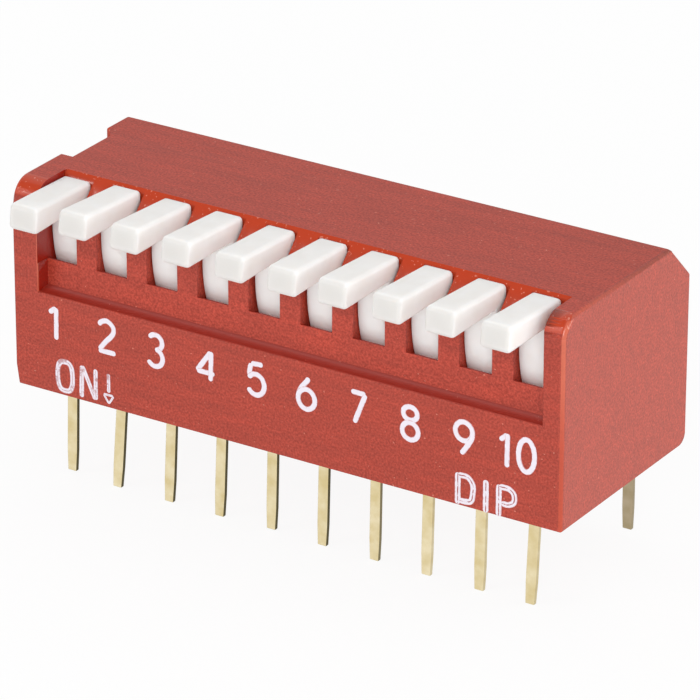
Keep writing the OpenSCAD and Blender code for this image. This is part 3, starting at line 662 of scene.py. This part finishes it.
# widths of the strokes
DIGIT = 0.24
ON_ROUND, ON_STEM, ON_SLANT, ON_LAST_STEM = 0.25, 0.24, 0.22, 0.22
ARROW_STEM, ARROW_BASE, ARROW_SIDE = 0.18, 0.11, 0.1
DIP_STEM, DIP_BOWL = 0.28, 0.27
inked("position_numbers", [
    (line((-11.63, 3.68), (-11.27, 3.97)), DIGIT), (line((-11.27, 3.97), (-11.29, 2.50)), DIGIT),
    (curve((-9.08, 3.72), (-8.97, 3.89), (-8.71, 3.99), (-8.47, 3.89), (-8.34, 3.66), (-8.43, 3.38),
           (-8.80, 2.97), (-9.08, 2.60)), DIGIT), (line((-9.12, 2.57), (-8.25, 2.57)), DIGIT),
    (arc(-6.22, 3.62, 0.66, 0.68, 155, -90), DIGIT), (arc(-6.25, 2.91, 0.76, 0.78, 90, -155), DIGIT),
    (line((-3.45, 3.85), (-4.15, 2.87)), DIGIT), (line((-4.15, 2.87), (-3.27, 2.87)), DIGIT),
    (line((-3.43, 3.87), (-3.47, 2.52)), DIGIT),
    (line((-0.87, 3.89), (-1.45, 3.85)), DIGIT), (line((-1.45, 3.85), (-1.57, 3.30)), DIGIT),
    (arc(-1.22, 2.93, 0.82, 0.94, 150, -155), DIGIT),
    (curve((1.40, 3.87), (1.20, 3.60), (0.97, 3.30), (0.85, 2.95)), DIGIT),
    (arc(1.26, 2.89, 0.81, 0.89, 0, 360), DIGIT),
    (line((3.43, 3.81), (4.13, 3.80)), DIGIT), (curve((4.13, 3.80), (3.94, 3.33), (3.59, 2.43)), DIGIT),
    (arc(6.27, 3.51, 0.67, 0.59, 0, 360), DIGIT), (arc(6.27, 2.72, 0.76, 0.76, 0, 360), DIGIT),
    (arc(8.82, 3.36, 0.81, 0.83, 0, 360), DIGIT),
    (curve((9.23, 3.33), (9.17, 3.07), (8.93, 2.67), (8.70, 2.33)), DIGIT),
    (line((10.51, 3.42), (10.88, 3.74)), DIGIT), (line((10.87, 3.78), (10.85, 2.28)), DIGIT),
    (arc(11.76, 3.02, 0.75, 1.43, 0, 360), DIGIT),
], ink)
inked("on_mark", [
    (arc(-10.875, 0.91, 0.76, 1.34, 0, 360, 2.8), ON_ROUND),
    (line((-10.00, 1.62), (-10.04, 0.15)), ON_STEM), (line((-9.975, 1.62), (-9.34, 0.20)), ON_SLANT),
    (line((-9.30, 1.62), (-9.31, 0.20)), ON_LAST_STEM),
    (line((-8.65, 1.575), (-8.64, 0.70)), ARROW_STEM), (line((-8.90, 0.59), (-8.43, 0.59)), ARROW_BASE),
    (line((-8.90, 0.575), (-8.64, 0.20)), ARROW_SIDE), (line((-8.64, 0.20), (-8.40, 0.575)), ARROW_SIDE),
], patchy_ink)
inked("dip_mark", [
    (line((8.55, 1.46), (8.55, 0.04)), DIP_STEM),
    (curve((8.55, 1.35), (9.0, 1.36), (9.25, 1.1), (9.27, 0.75), (9.15, 0.3), (8.6, 0.22)), DIP_BOWL),
    (line((9.88, 1.46), (9.88, 0.0)), DIP_STEM),
    (line((10.49, 1.42), (10.49, -0.01)), DIP_STEM),
    (curve((10.49, 1.33), (10.95, 1.33), (11.2, 1.14), (11.2, 0.8), (10.95, 0.62), (10.6, 0.61)),
     DIP_BOWL),
], hollow_ink)


# ---------------------------------------------------------------- room, light and camera
def paper_floor():
    """A pale paper sweep under the terminals' tips. To the camera and in reflections it is white, with
    the switch's shadow faint on it."""
    half_side = 600
    turn = ((-1, -1), (1, -1), (1, 1), (-1, 1))
    corners = [(x * half_side, y * half_side, FLOOR_Z) for x, y in turn]
    material, tree, _ = new_material("white_paper")
    path = add_node(tree, "ShaderNodeLightPath").outputs
    seen = add_node(tree, "ShaderNodeMath", {0: path["Is Glossy Ray"], 1: path["Is Transmission Ray"]},
                    operation="MAXIMUM").outputs[0]
    seen = add_node(tree, "ShaderNodeMath", {0: path["Is Camera Ray"], 1: seen},
                    operation="MAXIMUM").outputs[0]
    paper = add_node(tree, "ShaderNodeBsdfDiffuse", {"Color": linear("#FFFFFF")}).outputs[0]
    glow = add_node(tree, "ShaderNodeEmission", {"Strength": 1.0}).outputs[0]
    shown = add_node(tree, "ShaderNodeMixShader", {0: 0.1, 1: glow, 2: paper}).outputs[0]
    both = add_node(tree, "ShaderNodeMixShader", {0: seen, 1: paper, 2: shown})
    add_node(tree, "ShaderNodeOutputMaterial", {0: both.outputs[0]})
    add_piece("paper_floor", corners, [(0, 1, 2, 3)], material)


def light_tent():
    """A tent of white cloth: a little brighter overhead, and dark in one opening high at the front left,
    where the brow and the posts' round tops look. The opening fades in between 32 and 22 degrees from
    its middle, whose cosines are 0.85 and 0.93."""
    opening_middle = (-0.489, -0.414, 0.768)
    world = bpy.data.worlds.new("light_tent")
    bpy.context.scene.world = world
    world.use_nodes = True
    tree = world.node_tree
    tree.nodes.clear()
    path = add_node(tree, "ShaderNodeLightPath").outputs
    direction = add_node(tree, "ShaderNodeTexCoord").outputs["Generated"]
    height = add_node(tree, "ShaderNodeSeparateXYZ", {0: direction}).outputs["Z"]
    level = add_node(tree, "ShaderNodeMapRange", {0: height, 1: 0.15, 2: 0.7, 3: 0.92, 4: 1.0},
                     interpolation_type="SMOOTHSTEP").outputs[0]
    opening = add_node(tree, "ShaderNodeVectorMath", {0: direction, 1: opening_middle},
                       operation="DOT_PRODUCT").outputs["Value"]
    opening = add_node(tree, "ShaderNodeMapRange", {0: opening, 1: 0.85, 2: 0.93, 3: 1.0, 4: 0.3},
                       interpolation_type="SMOOTHSTEP").outputs[0]
    level = add_node(tree, "ShaderNodeMath", {0: level, 1: opening}, operation="MULTIPLY").outputs[0]
    cloth = add_node(tree, "ShaderNodeBackground", {"Strength": level}).outputs[0]
    white = add_node(tree, "ShaderNodeBackground", {"Strength": 1.0}).outputs[0]
    seen = add_node(tree, "ShaderNodeMath", {0: path["Is Camera Ray"], 1: path["Is Transmission Ray"]},
                    operation="MAXIMUM").outputs[0]
    both = add_node(tree, "ShaderNodeMixShader", {0: seen, 1: cloth, 2: white})
    add_node(tree, "ShaderNodeOutputWorld", {0: both.outputs[0]})


def soft_box(name, azimuth, elevation, distance, width, height, power):
    """A rectangular lamp facing the switch. Azimuth is from the front towards position 10, in degrees;
    the sizes are in millimetres and the power in watts."""
    a, e = math.radians(azimuth), math.radians(elevation)
    towards = Vector((math.sin(a) * math.cos(e), -math.cos(a) * math.cos(e), math.sin(e)))
    lamp_data = bpy.data.lights.new(name, "AREA")
    lamp_data.shape = "RECTANGLE"
    lamp_data.size, lamp_data.size_y = width * MM, height * MM
    lamp_data.energy = power
    turn = towards.to_track_quat("Z", "Y").to_matrix().to_4x4()
    add_object(name, lamp_data).matrix_world = Matrix.Translation(towards * distance * MM) @ turn


def long_lens():
    """A long-lens camera to the front right of the switch and above it. Its angles are in radians; a
    nudge to its left and upwards centres the switch."""
    azimuth, elevation, roll, nudge = 0.566860, 0.427001, -0.001147, 0.0214
    place = Vector((113.252, -177.783, 98.688))
    right = Vector((math.cos(azimuth), math.sin(azimuth), 0))
    ahead = Vector((-math.sin(azimuth) * math.cos(elevation), math.cos(azimuth) * math.cos(elevation),
                    -math.sin(elevation)))
    up = right.cross(ahead)
    right, up = (right * math.cos(roll) - up * math.sin(roll), up * math.cos(roll) + right * math.sin(roll))
    place -= (right - up) * nudge
    lens = bpy.data.cameras.new("long_lens")
    lens.sensor_width, lens.lens = 36, 284.75
    lens.clip_start, lens.clip_end = 0.01, 5
    axes = Matrix((right, up, -ahead)).transposed().to_4x4()
    bpy.context.scene.camera = add_object("long_lens", lens)
    bpy.context.scene.camera.matrix_world = Matrix.Translation(place * MM) @ axes


paper_floor()
light_tent()
soft_box("front_left_strip", azimuth=-35, elevation=31.7, distance=400, width=200, height=36, power=0.27)
soft_box("front_right_fill", azimuth=32, elevation=24, distance=450, width=200, height=200, power=0.64)
soft_box("right_back_fill", azimuth=118, elevation=8, distance=500, width=300, height=200, power=0.66)
long_lens()
bpy.context.scene.view_settings.view_transform = "Standard"
